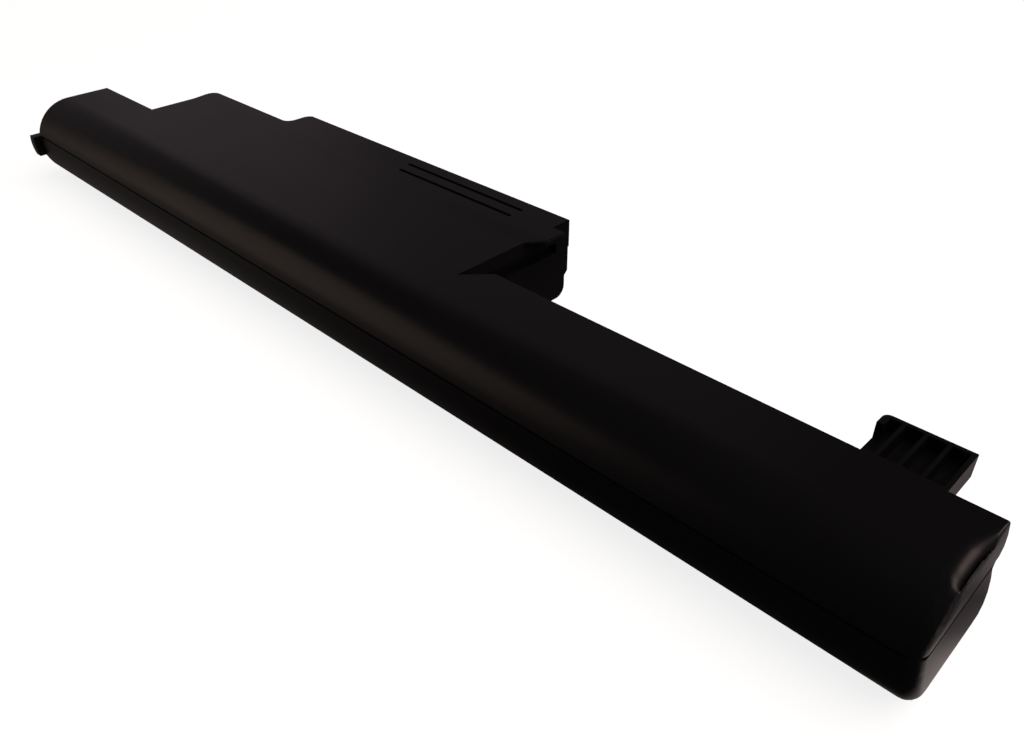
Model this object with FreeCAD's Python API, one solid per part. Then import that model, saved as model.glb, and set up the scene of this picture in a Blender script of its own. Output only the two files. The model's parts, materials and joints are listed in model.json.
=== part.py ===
"""Slide-in laptop battery: a round-fronted barrel with a flat deck behind it.

Six lithium cells lie in two rows inside a welded two-part moulded case, four in the barrel and two
in the deck. A control board stands in the bay behind the deck's cells and carries the connector.

Frame, in millimetres: +X along the barrel, +Y from the barrel towards the deck, +Z up. The origin is
on the plane that the battery rests on, at the middle of the barrel's length, under the plane of the
barrel's back wall.
"""
import FreeCAD, Part
import math
import os

# Cells
cell_length = 65.0
cell_radius = 9.2
button_height = 0.8
button_radius = 3.1
button_taper = 0.3
crimp_from_end = 3.4
crimp_depth = 0.45
crimp_width = 1.6
can_edge = 0.7
ring_thickness = 0.25
ring_clearance = 0.4
barrel_cells = 4
deck_cells = 2
barrel_cell_gap = 1.4
deck_cell_gap = 1.0

# Case walls and the room round the cells
wall = 1.5
cell_clearance = 0.7
barrel_end_room = 1.4
deck_left_room = 0.6
deck_right_room = 1.8
back_room = 3.1
row_gap = 3.1

# Outside form of the barrel
left_end_round = 0.4
right_end_round = 2.4
right_end_back_round = 0.4
upper_end_bulge = 0.45
seam_end_bulge = 0.1
lower_end_bulge = 0.9
foot_end_bulge = 0.2
back_lip = 1.8
back_lip_round = 1.0
seam_from_top = 8.5
channel_depth = 0.8
channel_width = 2.6
channel_from_back = 7.0
channel_stop = 2.0
least_round = 0.2

# Outside form of the deck
deck_centre_x = -37.6
bay_length = 97.9
bay_depth = 7.7
bay_bottom = 4.6
bay_corner = 2.6
bay_foot_step = 1.0
bay_foot_top = 9.6
upper_overhang = 0.3
deck_corner = 2.4
deck_bottom_round = 4.0
deck_edge_round = 0.3
ledge_rise = 0.3
ledge_slope_start = 13.5
ledge_slope_width = 4.0
deck_seam_from_top = 6.3

# Two parallel grooves moulded in the ledge
groove_width = 1.0
groove_depth = 0.5
groove_length = 39.5
groove_offset_x = 0.2
groove_from_back = (4.0, 7.7)
groove_stagger = 1.0

# Guide slot and guide tab on the deck's right end
slot_height = 3.1
slot_back_margin = 4.2
slot_web = 0.9
tab_start = 12.2
tab_from_back = 5.3
tab_reach = 3.6
tab_root = 0.15
tab_thickness = 1.1
tab_lead_round = 2.6
tab_corner_round = 0.6
tab_edge_round = 0.4

# Three-cornered relief where the deck's end meets the barrel's top
relief_leg = 5.4
relief_depth = 2.5
relief_wall = 0.8

# Lock tongue on the barrel's back
tongue_right_from_end = 8.5
tongue_width = 14.5
tongue_reach = 11.0
tongue_height = 4.4
tongue_step_reach = 7.9
tongue_step_drop = 3.2
tongue_step_width = 1.35
tongue_wall = 0.8
tongue_rib = 0.7
tongue_ribs_from_left = (3.5, 7.0, 10.6)
tongue_left_wall = 1.2
tongue_floor_depth = 2.5
tongue_floor_slope = 0.5
tongue_hole_reach = 4.0
tongue_front_web = 0.6
tongue_corner = 1.2

# Locating lug on the barrel's left end
lug_reach = 3.4
lug_height = 5.9
lug_depth = 3.8
lug_proud = 1.6
lug_drop = 0.6
lug_round = 0.8

# Joint between the two case parts
lip_height = 0.9
lip_thickness = 0.7
lip_clearance = 0.1
seam_groove = 0.35

# Saddle ribs that carry the cells
rib_thickness = 1.6
rib_top = 8.0
rib_inset = 12.0
seat_clearance = 0.2
row_wall_gap = 0.5

# Forked ribs that hold the board upright
guide_from_end = 3.0
guide_thickness = 2.0
guide_front = 1.2
guide_back = 1.6
guide_height = 2.4
guide_clearance = 0.1
guide_root = 0.5

# Foam strips between the cells and the lid
foam_thickness = 0.6
foam_width = 4.5
foam_margin = 8.0
foam_strip_gap = 2.0

# Nickel strips
strip_thickness = 0.25
strip_width = 4.0
weld_gap = 0.05
tab_half_length = 6.0
lead_width = 5.0
tap_width = 3.0
strip_foot = 2.5
strip_front_angle = 172.0
strip_back_angle = 38.0
series_strip_gap = 1.0
deck_link_extra_height = 4.0
deck_tap_from_end = 8.0

# Insulating papers
paper_thickness = 0.3
paper_gap = 0.3
row_paper_short = 2.0
board_paper_margin = 6.0
board_paper_height = 5.5

# Control board
board_end_gap = 3.45
board_thickness = 1.0
board_height = 13.6
board_floor_gap = 0.3
board_from_cell = 1.7
board_offset_x = 0.4
board_clip = 1.5
solder_gap = 0.05

# Connector
connector_from_right = 30.6
contact_count = 8
contact_pitch = 3.8
connector_end = 2.4
connector_height = 8.0
connector_back_wall = 1.2
connector_chamfer = 0.4
contact_slot_width = 1.8
contact_slot_height = 6.0
contact_thickness = 0.3
contact_width = 1.3
contact_height = 4.6
contact_recess = 1.0
contact_seat_gap = 0.1
contact_pinch = 0.25
contact_neck_share = 0.7
contact_straight = 1.0
tail_size = 0.6
tail_past_board = 0.4
tail_clearance = 0.1
window_clearance = 0.15

# Parts soldered to the board, each as length, height, thickness
fet_size = (5.0, 4.0, 1.6)
gauge_size = (7.0, 7.0, 0.9)
protector_size = (3.0, 3.0, 0.9)
fuse_size = (5.4, 3.6, 1.4)
shunt_size = (6.4, 3.2, 0.7)
capacitor_size = (3.2, 1.6, 1.4)
lead_pitch = 1.27
lead_count = 4
lead_reach = 0.9
lead_thick = 0.2
lead_width_chip = 0.4
lead_root = 0.3
chip_edge = 0.25

# Distance from the connector's left end, then height from the board's middle
charge_place = (5.5, 0.0)
discharge_place = (12.5, 0.0)
gauge_place = (21.5, 0.0)

# Distance from the board's nearer end, then height from the board's middle
fuse_place = (5.35, 3.0)
shunt_place = (5.5, -2.4)
protector_place = (8.0, 2.0)
capacitor_place = (6.2, -4.6)
capacitor_step = 4.4
capacitor_count = 3

# Bead thermistor
thermistor_radius = 1.1
thermistor_from_end = 12.0
thermistor_from_top = 3.0
thermistor_gap = 0.35
thermistor_leg_radius = 0.2
thermistor_leg_offset = 0.6

# Worked out from the sizes above
barrel_radius = cell_radius + cell_clearance + wall
case_top = 2 * barrel_radius
axis_y = -(cell_radius + back_room)
axis_z = barrel_radius
barrel_row = barrel_cells * cell_length + (barrel_cells - 1) * barrel_cell_gap
barrel_half = barrel_row / 2 + barrel_end_room + wall
deck_axis_y = axis_y + 2 * cell_radius + row_gap
deck_row = deck_cells * cell_length + (deck_cells - 1) * deck_cell_gap
deck_length = deck_row + deck_left_room + deck_right_room + 2 * wall
deck_left = deck_centre_x - deck_length / 2
deck_right = deck_centre_x + deck_length / 2
deck_row_left = deck_left + wall + deck_left_room
deck_back = deck_axis_y + cell_radius + cell_clearance + wall
bay_left = deck_right - bay_length
bay_back = deck_back + bay_depth
ledge_top = case_top + ledge_rise
barrel_seam = case_top - seam_from_top
deck_seam = case_top - deck_seam_from_top
board_front = deck_axis_y + cell_radius + board_from_cell
board_back = board_front + board_thickness
board_low = bay_bottom + wall + board_floor_gap
board_length = bay_length - 2 * wall - 2 * board_end_gap
board_x = (bay_left + deck_right) / 2 + board_offset_x
board_left = board_x - board_length / 2
board_right = board_x + board_length / 2
connector_x = deck_right - connector_from_right
far = 400.0


def vec(x, y, z):
    """Short name for a point or direction."""
    return FreeCAD.Vector(x, y, z)


def block(x0, x1, y0, y1, z0, z1):
    """A box between two corners."""
    return Part.makeBox(x1 - x0, y1 - y0, z1 - z0, vec(x0, y0, z0))


def face_from(steps, place):
    """A flat face from an outline. Each step is an end point, or a middle and an end point of an arc."""
    start = steps[0][-1]
    here = start
    edges = []
    for step in steps[1:] + [(start,)]:
        end = step[-1]
        if len(step) == 2:
            edges.append(Part.Arc(place(*here), place(*step[0]), place(*end)).toShape())
        elif math.dist(here, end) > 1e-6:
            edges.append(Part.makeLine(place(*here), place(*end)))
        here = end
    return Part.Face(Part.Wire(edges))


def along_x(steps, x0, x1):
    """Extrudes an outline in Y and Z from x0 to x1."""
    return face_from(steps, lambda y, z: vec(x0, y, z)).extrude(vec(x1 - x0, 0, 0))


def along_y(steps, y0, y1):
    """Extrudes an outline in X and Z from y0 to y1."""
    return face_from(steps, lambda x, z: vec(x, y0, z)).extrude(vec(0, y1 - y0, 0))


def along_z(steps, z0, z1):
    """Extrudes an outline in X and Y from z0 to z1."""
    return face_from(steps, lambda x, y: vec(x, y, z0)).extrude(vec(0, 0, z1 - z0))


def quarter(centre, radius, angle):
    """The point on a circle at an angle in degrees."""
    turn = math.radians(angle)
    return (centre[0] + radius * math.cos(turn), centre[1] + radius * math.sin(turn))


def rounded(shape, radius, wanted):
    """Rounds the edges of a solid whose middle point passes a test."""
    edges = []
    for edge in shape.Edges:
        if wanted(edge.valueAt((edge.FirstParameter + edge.LastParameter) / 2), edge):
            edges.append(edge)
    return shape.makeFillet(radius, edges)


def barrel_form(inset, half):
    """The barrel: flat top, half-round front and flat bottom, drawn in from its outside by inset."""
    radius = barrel_radius - inset
    steps = [((-inset, case_top - inset),),
             ((axis_y, case_top - inset),),
             ((axis_y - radius, axis_z), (axis_y, inset)),
             ((-inset, inset),)]
    return along_x(steps, inset - half, half - inset)


def back_lip_form(inset, half):
    """The step below the seam where the barrel's lower back stands out past its upper back."""
    back = back_lip - inset
    curve = max(back_lip_round - inset, least_round)
    centre = (back - curve, inset + curve)
    steps = [((axis_y, inset),),
             ((centre[0], inset),),
             (quarter(centre, curve, -45), (back, centre[1])),
             ((back, barrel_seam - inset),),
             ((axis_y, barrel_seam - inset),)]
    return along_x(steps, inset - half, half - inset)


def deck_plan(inset, back):
    """The deck seen from above, with its rounded corners and the step in its back edge."""
    outer = max(deck_corner - inset, least_round)
    inner = deck_corner + inset
    left = deck_left + inset
    step = bay_left + inset
    first = deck_back - inset
    last = back - inset
    return [((left, axis_y),),
            ((left, first - outer),),
            (quarter((left + outer, first - outer), outer, 135), (left + outer, first)),
            ((step - inner, first),),
            (quarter((step - inner, first + inner), inner, -45), (step, first + inner)),
            ((step, last - outer),),
            (quarter((step + outer, last - outer), outer, 135), (step + outer, last)),
            ((deck_right - inset, last),),
            ((deck_right - inset, axis_y),)]


def deck_section(inset, back):
    """The deck seen from its end: ledge on top, raised bay with a stepped foot behind."""
    last = back - inset
    foot = last - bay_foot_step
    bottom_curve = deck_bottom_round - inset
    corner = bay_corner - inset
    first = deck_back - inset
    floor = bay_bottom + inset
    low = (first - bottom_curve, inset + bottom_curve)
    edge = max(deck_edge_round - inset, least_round)
    roof = ledge_top - inset
    return [((axis_y, inset),),
            ((low[0], inset),),
            (quarter(low, bottom_curve, -45), (first, low[1])),
            ((first, floor),),
            ((foot - corner, floor),),
            (quarter((foot - corner, floor + corner), corner, -45), (foot, floor + corner)),
            ((foot, bay_foot_top),),
            ((last, bay_foot_top + bay_foot_step),),
            ((last, roof - edge),),
            (quarter((last - edge, roof - edge), edge, 45), (last - edge, roof)),
            ((ledge_slope_start + ledge_slope_width, roof),),
            ((ledge_slope_start, case_top - inset),),
            ((axis_y, case_top - inset),)]


def deck_form(inset, back):
    """The deck as the overlap of its plan and its section."""
    plan = along_z(deck_plan(inset, back), -1, case_top + 1)
    section = along_x(deck_section(inset, back), deck_left - 1, deck_right + 1)
    return plan.common(section)


def case_form(inset, half, back):
    """Barrel, back lip and deck joined, drawn in by inset."""
    form = barrel_form(inset, half).fuse(back_lip_form(inset, half))
    return form.fuse(deck_form(inset, back)).removeSplitter()


def barrel_part(form, low, high, low_x, middle_x, high_x):
    """A slice of the barrel between two heights, with a right end that bulges between three places."""
    steps = [((-barrel_half, low),),
             ((low_x, low),),
             ((middle_x, (low + high) / 2), (high_x, high)),
             ((-barrel_half, high),)]
    shape = form.common(along_y(steps, -far, far))
    return rounded(shape, left_end_round,
                   lambda p, e: abs(p.x + barrel_half) < 0.01 and p.y < -0.5 and abs(p.z - barrel_seam) > 0.1)


def barrel_top():
    """The barrel above the seam: its right end edge is nearly sharp at the back and soft in front."""
    shape = barrel_part(barrel_form(0, far), barrel_seam, case_top,
                        barrel_half + seam_end_bulge, barrel_half + upper_end_bulge, barrel_half)
    edges = [e for e in shape.Edges if e.BoundBox.XMin > barrel_half - 0.01 and e.BoundBox.ZMin > case_top - 0.01]
    return shape.makeFillet(right_end_round, right_end_back_round, edges)


def barrel_bottom():
    """The barrel below the seam, with its rounded right end."""
    shape = barrel_part(barrel_form(0, far), 0, barrel_seam,
                        barrel_half + foot_end_bulge, barrel_half + lower_end_bulge, barrel_half + seam_end_bulge)
    return rounded(shape, right_end_round,
                   lambda p, e: p.x > barrel_half - 0.01 and p.y < -0.5 and p.z < barrel_seam - 0.1)


def relief_prism(grow, floor):
    """The three-cornered relief, grown outwards to leave a wall round it."""
    spread = grow * (1 + math.sqrt(2))
    corner = (deck_right - grow, grow)
    steps = [((corner[0], -relief_leg - spread),),
             ((deck_right + relief_leg + spread, corner[1]),),
             ((corner[0], corner[1]),)]
    return along_z(steps, floor, case_top + 1)


def cavity():
    """The room inside the case."""
    room = case_form(wall, barrel_half, bay_back - upper_overhang)
    return room.cut(relief_prism(relief_wall, case_top - relief_depth - relief_wall))


def below_seam():
    """All the space under the stepped seam of the case."""
    barrel_part = block(-far, far, -far, back_lip + 0.001, -far, barrel_seam)
    deck_part = block(deck_left - 0.001, deck_right + 0.001, 0, far, -far, deck_seam)
    return barrel_part.fuse(deck_part)


def lip_ring(inset, extra):
    """A ring inside the case wall just above the seam, from inset to the inner face."""
    ring = case_form(inset, barrel_half, bay_back - upper_overhang).cut(cavity())
    gap = lip_clearance - extra
    barrel_band = block(-far, far, -far, 0, barrel_seam, barrel_seam + lip_height + extra)
    deck_band = block(deck_left - 1, deck_right - wall - slot_web - gap, 0, far,
                      deck_seam, deck_seam + lip_height + extra)
    behind = block(deck_left - gap, deck_right + gap, -wall - 1, 1, 0, case_top)
    return ring.common(barrel_band).cut(behind).fuse(ring.common(deck_band))


def seam_rebate():
    """A fine groove along the outside of the seam, cut in the lower part's top edge."""
    half = barrel_half + seam_end_bulge
    back = bay_back - upper_overhang
    skin = barrel_form(-1, half).fuse(deck_form(0, back + 1)).cut(case_form(seam_groove, half, back))
    barrel_band = block(-far, far, -far, -0.001, barrel_seam - seam_groove, barrel_seam)
    deck_band = block(deck_left - 1, deck_right - wall, back_lip, far,
                      deck_seam - seam_groove, deck_seam)
    return skin.common(barrel_band.fuse(deck_band))


def cell_cylinder(y, clearance):
    """A long cylinder round a row of cells."""
    return Part.makeCylinder(cell_radius + clearance, 2 * far, vec(-far, y, axis_z), vec(1, 0, 0))


def saddle_ribs():
    """Thin saddles across the case floor, two under each cell."""
    places = []
    for first, count, gap in ((-barrel_row / 2, barrel_cells, barrel_cell_gap),
                              (deck_row_left, deck_cells, deck_cell_gap)):
        for number in range(count):
            start = first + number * (cell_length + gap)
            for offset in (rib_inset, cell_length - rib_inset):
                places.append((start + offset, first == deck_row_left))
    webs = []
    for x, in_deck in places:
        low_y, high_y = (row_wall_gap, deck_back - wall - row_wall_gap) if in_deck else (-far, 0.0)
        webs.append(block(x - rib_thickness / 2, x + rib_thickness / 2, low_y, high_y, 0, rib_top))
    web = webs[0].fuse(webs[1:]).common(cavity())
    web = web.cut(cell_cylinder(axis_y, seat_clearance))
    return web.cut(cell_cylinder(deck_axis_y, seat_clearance))


def board_guides():
    """Two forked ribs on the bay's floor that hold the board upright."""
    guides = []
    half = guide_thickness / 2
    for side in (-1, 1):
        x = board_x + side * (board_length / 2 - guide_from_end)
        fork = block(x - half, x + half, board_front - guide_front, board_back + guide_back,
                     bay_bottom + guide_root, board_low + guide_height)
        gate = block(x - guide_thickness, x + guide_thickness, board_front - guide_clearance,
                     board_back + guide_clearance, board_low - guide_clearance, case_top)
        guides.append(fork.cut(gate))
    return guides[0].fuse(guides[1])


def lug():
    """The locating lug on the left end, which stands out a little past the barrel's round front."""
    left = -barrel_half - lug_reach
    front = axis_y - barrel_radius - lug_proud
    top = barrel_seam - lug_drop
    grown = barrel_form(-lug_proud, barrel_half + lug_reach - lug_proud)
    piece = grown.common(block(left, -barrel_half, front, front + lug_proud + lug_depth, top - lug_height, top))
    return rounded(piece, lug_round, lambda p, e: abs(p.x - left) < 0.01)


def bottom_channel():
    """A shallow channel along the barrel's underside."""
    half = channel_width / 2
    steps = [((-channel_from_back - half, 0),),
             ((-channel_from_back, channel_depth), (-channel_from_back + half, 0))]
    reach = barrel_half + lower_end_bulge + 1
    left = along_x(steps, -reach, deck_left - channel_stop)
    right = along_x(steps, deck_right + channel_stop, reach)
    return left.fuse(right)


def connector_window():
    """The opening in the bay's back wall for the connector."""
    half = connector_length() / 2 + window_clearance
    return block(connector_x - half, connector_x + half, board_back, bay_back + 1,
                 connector_low() - window_clearance, deck_seam + 0.001)


def lower_case():
    """The lower case part: barrel trough, deck floor, saddles, lug, lip and connector window."""
    back = bay_back - upper_overhang
    outside = barrel_bottom().fuse([back_lip_form(0, barrel_half), deck_form(0, back)])
    shell = outside.cut(cavity()).common(below_seam())
    shell = shell.cut(bottom_channel()).cut(seam_rebate())
    shell = shell.fuse([saddle_ribs(), board_guides(), lug(), lip_ring(wall - lip_thickness, 0)])
    return shell.cut(connector_window()).removeSplitter()


def ledge_grooves():
    """The two fine grooves with round ends in the ledge."""
    cuts = []
    for number, from_back in enumerate(groove_from_back):
        y = bay_back - from_back
        x0 = connector_x + groove_offset_x - groove_length / 2 + number * groove_stagger
        x1 = x0 + groove_length - number * groove_stagger
        r = groove_width / 2
        steps = [((x0 + r, y - r),),
                 ((x1 - r, y - r),),
                 ((x1, y), (x1 - r, y + r)),
                 ((x0 + r, y + r),),
                 ((x0, y), (x0 + r, y - r))]
        cuts.append(along_z(steps, ledge_top - groove_depth, case_top + 1))
    return cuts[0].fuse(cuts[1])


def end_tab():
    """The thin guide tab that stands out level with the deck's top, with a slanting lead-in."""
    inner = deck_right - tab_root
    outer = deck_right + tab_reach
    back = bay_back - tab_from_back
    curve = tab_lead_round
    lead = outer - inner + 2 * curve * (math.sqrt(2) - 1)
    first = (inner + curve, tab_start)
    second = (outer - curve, tab_start + lead)
    corner = (outer - tab_corner_round, back - tab_corner_round)
    plan = [((inner, tab_start),),
            (quarter(first, curve, 157.5), quarter(first, curve, 135)),
            (quarter(second, curve, -45),),
            (quarter(second, curve, -22.5), (outer, tab_start + lead)),
            ((outer, corner[1]),),
            (quarter(corner, tab_corner_round, 45), (corner[0], back)),
            ((inner, back),)]
    low = case_top - tab_thickness
    tab = along_z(plan, low, ledge_top + 1).common(along_x(deck_section(0, bay_back), inner, outer + 1))
    return rounded(tab, tab_edge_round,
                   lambda p, e: e.BoundBox.ZMin > low + 0.01 and e.BoundBox.XMax > inner + 0.01
                   and (e.BoundBox.YLength > 0.01 or abs(p.y - back) < 0.01))


def guide_slot():
    """The guide slot along the deck's right end, cut through its wall just above the seam."""
    return block(deck_right - wall, deck_right + 1, 0, bay_back - slot_back_margin,
                 deck_seam, deck_seam + slot_height)


def slot_backing():
    """The web that closes the guide slot towards the cells."""
    return block(deck_right - wall - slot_web, deck_right - wall, least_round,
                 bay_back - wall - least_round, deck_seam, ledge_top - wall / 2)


def tongue():
    """The ribbed lock tongue: a tray whose pockets fall through next to the barrel, save the first."""
    right = barrel_half - tongue_right_from_end
    left = right - tongue_width
    top = case_top
    low = top - tongue_height
    plate = block(left, right, -wall / 2, tongue_reach, low, top)
    plate = rounded(plate, tongue_corner,
                    lambda p, e: abs(p.x - left) < 0.01 and abs(p.y - tongue_reach) < 0.01)
    inner_back = tongue_reach - tongue_wall
    floor_back = top - tongue_floor_depth
    floor_front = floor_back - tongue_floor_slope
    steps = [((tongue_front_web, top + 1),),
             ((inner_back, top + 1),),
             ((inner_back, floor_back),),
             ((tongue_front_web, floor_front),)]
    lows = [left + tongue_left_wall] + [left + at + tongue_rib / 2 for at in tongue_ribs_from_left]
    highs = [left + at - tongue_rib / 2 for at in tongue_ribs_from_left] + [right - tongue_wall]
    for x0, x1 in zip(lows, highs):
        plate = plate.cut(along_x(steps, x0, x1))
        if x0 != lows[0]:
            plate = plate.cut(block(x0, x1, tongue_front_web, tongue_hole_reach, low - 1, top))
    return plate.cut(block(left - 1, left + tongue_step_width, 0, tongue_step_reach,
                           top - tongue_step_drop, top + 1))


def upper_case():
    """The upper case part: barrel top, deck lid with its ledge, tab, slot, relief and tongue."""
    outside = barrel_top().fuse(deck_form(0, bay_back))
    shell = outside.cut(cavity()).cut(below_seam())
    shell = shell.cut(relief_prism(0, case_top - relief_depth)).cut(guide_slot())
    shell = shell.cut(ledge_grooves())
    shell = shell.cut(lip_ring(wall - lip_thickness - lip_clearance, lip_clearance))
    return shell.fuse([slot_backing(), end_tab(), tongue()]).removeSplitter()


def cell(x0, y, button_right):
    """One sealed cell: a can with a crimp groove, a shoulder and a button at its positive end."""
    can = cell_length - button_height
    groove = can - crimp_from_end
    bottom = cell_radius - crimp_depth
    steps = [((0, 0),),
             ((0, cell_radius - can_edge),),
             (quarter((can_edge, cell_radius - can_edge), can_edge, 135), (can_edge, cell_radius)),
             ((groove - crimp_width / 2, cell_radius),),
             ((groove, bottom), (groove + crimp_width / 2, cell_radius)),
             ((can - can_edge, cell_radius),),
             (quarter((can - can_edge, cell_radius - can_edge), can_edge, 45),
              (can, cell_radius - can_edge)),
             ((can, button_radius),),
             ((cell_length, button_radius - button_taper),),
             ((cell_length, 0),)]
    half = face_from(steps, lambda x, r: vec(x, r, 0))
    solid = half.revolve(vec(0, 0, 0), vec(1, 0, 0), 360)
    if not button_right:
        solid.rotate(vec(cell_length / 2, 0, 0), vec(0, 0, 1), 180)
    solid.translate(vec(x0, y, axis_z))
    return solid


def insulating_ring(x0, y, button_right):
    """The card ring round a cell's button."""
    shoulder = cell_length - button_height
    outer = cell_radius - can_edge
    ring = Part.makeCylinder(outer, ring_thickness, vec(shoulder, 0, 0), vec(1, 0, 0))
    hole = Part.makeCylinder(button_radius + ring_clearance, 2, vec(shoulder - 1, 0, 0), vec(1, 0, 0))
    ring = ring.cut(hole)
    if not button_right:
        ring.rotate(vec(cell_length / 2, 0, 0), vec(0, 0, 1), 180)
    ring.translate(vec(x0, y, axis_z))
    return ring


def cell_places():
    """Each cell's left end, row and the side its button is on."""
    places = []
    for number in range(barrel_cells):
        x = -barrel_row / 2 + number * (cell_length + barrel_cell_gap)
        places.append((x, axis_y, number % 2 == 0))
    for number in range(deck_cells):
        x = deck_row_left + number * (cell_length + deck_cell_gap)
        places.append((x, deck_axis_y, number % 2 == 0))
    return places


def gap_link(x0, gap, y, reach, z0, z1):
    """A folded strip between two facing cell ends, with its fold towards the deck."""
    left = x0 + weld_gap
    right = x0 + gap - weld_gap
    middle = (left + right) / 2
    outer = (right - left) / 2
    inner = outer - strip_thickness
    turn = y + reach - outer
    steps = [((left, y - tab_half_length),),
             ((left, turn),),
             ((middle, turn + outer), (right, turn)),
             ((right, y - tab_half_length),),
             ((right - strip_thickness, y - tab_half_length),),
             ((right - strip_thickness, turn),),
             ((middle, turn + inner), (left + strip_thickness, turn)),
             ((left + strip_thickness, y - tab_half_length),)]
    return along_z(steps, z0, z1)


def bus_strip(x0, x1, row_y, side_y):
    """A strip along a row of cells whose two ends fold over the row's outer ends."""
    t = strip_thickness
    fold = 2 * t
    low = row_y - tab_half_length / 2
    outline = [((x0 - t, low),),
               ((x0 - t, side_y + t - fold),),
               (quarter((x0 - t + fold, side_y + t - fold), fold, 135), (x0 - t + fold, side_y + t)),
               ((x1 + t - fold, side_y + t),),
               (quarter((x1 + t - fold, side_y + t - fold), fold, 45), (x1 + t, side_y + t - fold)),
               ((x1 + t, low),),
               ((x1, low),),
               ((x1, side_y - t),),
               (quarter((x1 - t, side_y - t), t, 45), (x1 - t, side_y)),
               ((x0 + t, side_y),),
               (quarter((x0 + t, side_y - t), t, 135), (x0, side_y - t)),
               ((x0, low),)]
    return along_z(outline, axis_z - strip_width / 2, axis_z + strip_width / 2)


def series_strip():
    """The strip that joins the last barrel pair to the deck's outer end."""
    t = strip_thickness
    x1 = barrel_row / 2 - cell_length
    x0 = deck_row_left + deck_row + 2 * t
    y = axis_y + cell_radius + series_strip_gap
    fold = 2 * t
    steps = [((x1, y),),
             ((x1, y + t),),
             ((x0 + fold, y + t),),
             (quarter((x0 + fold, y + t + t), t, -135), (x0 + t, y + 2 * t)),
             ((x0 + t, deck_axis_y),),
             ((x0, deck_axis_y),),
             ((x0, y + fold),),
             (quarter((x0 + fold, y + fold), fold, -135), (x0 + fold, y))]
    return along_z(steps, axis_z - strip_width / 2, axis_z + strip_width / 2)


def over_strip(x, width):
    """A strip bent over a deck cell, from between the rows to the board's top edge."""
    inner = cell_radius + 2 * weld_gap
    outer = inner + strip_thickness
    centre = (deck_axis_y, axis_z)
    front = strip_front_angle
    back = strip_back_angle
    top = (front + back) / 2
    tail_y = board_front - solder_gap
    back_outer = quarter(centre, outer, back)
    back_inner = quarter(centre, inner, back)
    t = strip_thickness
    steps = [(quarter(centre, outer, front),),
             (quarter(centre, outer, top), back_outer),
             ((tail_y, back_outer[1]),),
             ((tail_y, back_inner[1] - strip_foot),),
             ((tail_y - t, back_inner[1] - strip_foot),),
             ((tail_y - t, back_inner[1]),),
             (back_inner,),
             (quarter(centre, inner, top), quarter(centre, inner, front))]
    return along_x(steps, x - width / 2, x + width / 2)


def board_tab(x, y0, z):
    """A short strip from the deck row's back to the board, with a foot on the board."""
    t = strip_thickness
    y1 = board_front - solder_gap
    steps = [((y0, z),),
             ((y1, z),),
             ((y1, z + strip_foot),),
             ((y1 - t, z + strip_foot),),
             ((y1 - t, z + t),),
             ((y0, z + t),)]
    return along_x(steps, x - tap_width / 2, x + tap_width / 2)


def row_paper():
    """The insulating paper between the two rows of cells."""
    y = axis_y + cell_radius + row_gap - paper_gap - paper_thickness
    return block(deck_row_left, deck_row_left + deck_row - row_paper_short, y, y + paper_thickness,
                 rib_top + paper_gap, case_top - wall - paper_gap)


def board_paper():
    """The insulating paper between the deck's cells and the board."""
    y = board_front - 3 * strip_thickness - paper_thickness
    half = board_length / 2 - board_paper_margin
    return block(board_x - half, board_x + half, y, y + paper_thickness,
                 board_low, board_low + board_paper_height)


def foam_strip(x0, x1, y):
    """A foam strip behind y that fills the room between the cells and the lid."""
    top = case_top - wall
    return block(x0, x1, y, y + foam_width, top - foam_thickness, top)


def connector_length():
    """Length of the connector along the board."""
    return (contact_count - 1) * contact_pitch + 2 * connector_end


def connector_low():
    """Height of the connector's underside."""
    return deck_seam - window_clearance - connector_height


def contact_x(number):
    """Place of a contact along the connector."""
    return connector_x + (number - (contact_count - 1) / 2) * contact_pitch


def connector_housing():
    """The connector's moulded housing with one blade slot for each contact."""
    half = connector_length() / 2
    low = connector_low()
    back = bay_back - upper_overhang
    body = block(connector_x - half, connector_x + half, board_back, back, low, low + connector_height)
    body = body.makeChamfer(connector_chamfer, [e for e in body.Edges if abs(e.CenterOfMass.y - back) < 0.01])
    middle = low + connector_height / 2
    cuts = []
    for number in range(contact_count):
        x = contact_x(number)
        w = contact_slot_width / 2
        h = contact_slot_height / 2
        hole = tail_size / 2 + tail_clearance
        cuts.append(block(x - w, x + w, board_back + connector_back_wall, back + 1, middle - h, middle + h))
        cuts.append(block(x - hole, x + hole, board_back - 1, back - 1, middle - hole, middle + hole))
    return body.cut(cuts[0].fuse(cuts[1:]))


def contact(number):
    """One fork contact: two sprung legs that pinch towards their mouth, and a tail into the board."""
    x = contact_x(number)
    base = board_back + connector_back_wall + contact_seat_gap
    tip = bay_back - upper_overhang - contact_recess
    w = contact_width / 2
    t = contact_thickness
    pinch = contact_pinch
    neck = base + contact_neck_share * (tip - base)
    middle = connector_low() + connector_height / 2
    h = contact_height / 2
    steps = [((x - w, base),),
             ((x - w, base + contact_straight),),
             ((x - w + pinch, neck),),
             ((x - w, tip),),
             ((x - w + t, tip),),
             ((x - w + pinch + t, neck),),
             ((x - w + t, base + t),),
             ((x + w - t, base + t),),
             ((x + w - pinch - t, neck),),
             ((x + w - t, tip),),
             ((x + w, tip),),
             ((x + w - pinch, neck),),
             ((x + w, base + contact_straight),),
             ((x + w, base),)]
    fork = along_z(steps, middle - h, middle + h)
    tail = block(x - tail_size / 2, x + tail_size / 2, board_front - tail_past_board, base + t / 2,
                 middle - tail_size / 2, middle + tail_size / 2)
    return fork.fuse(tail).removeSplitter()


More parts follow.
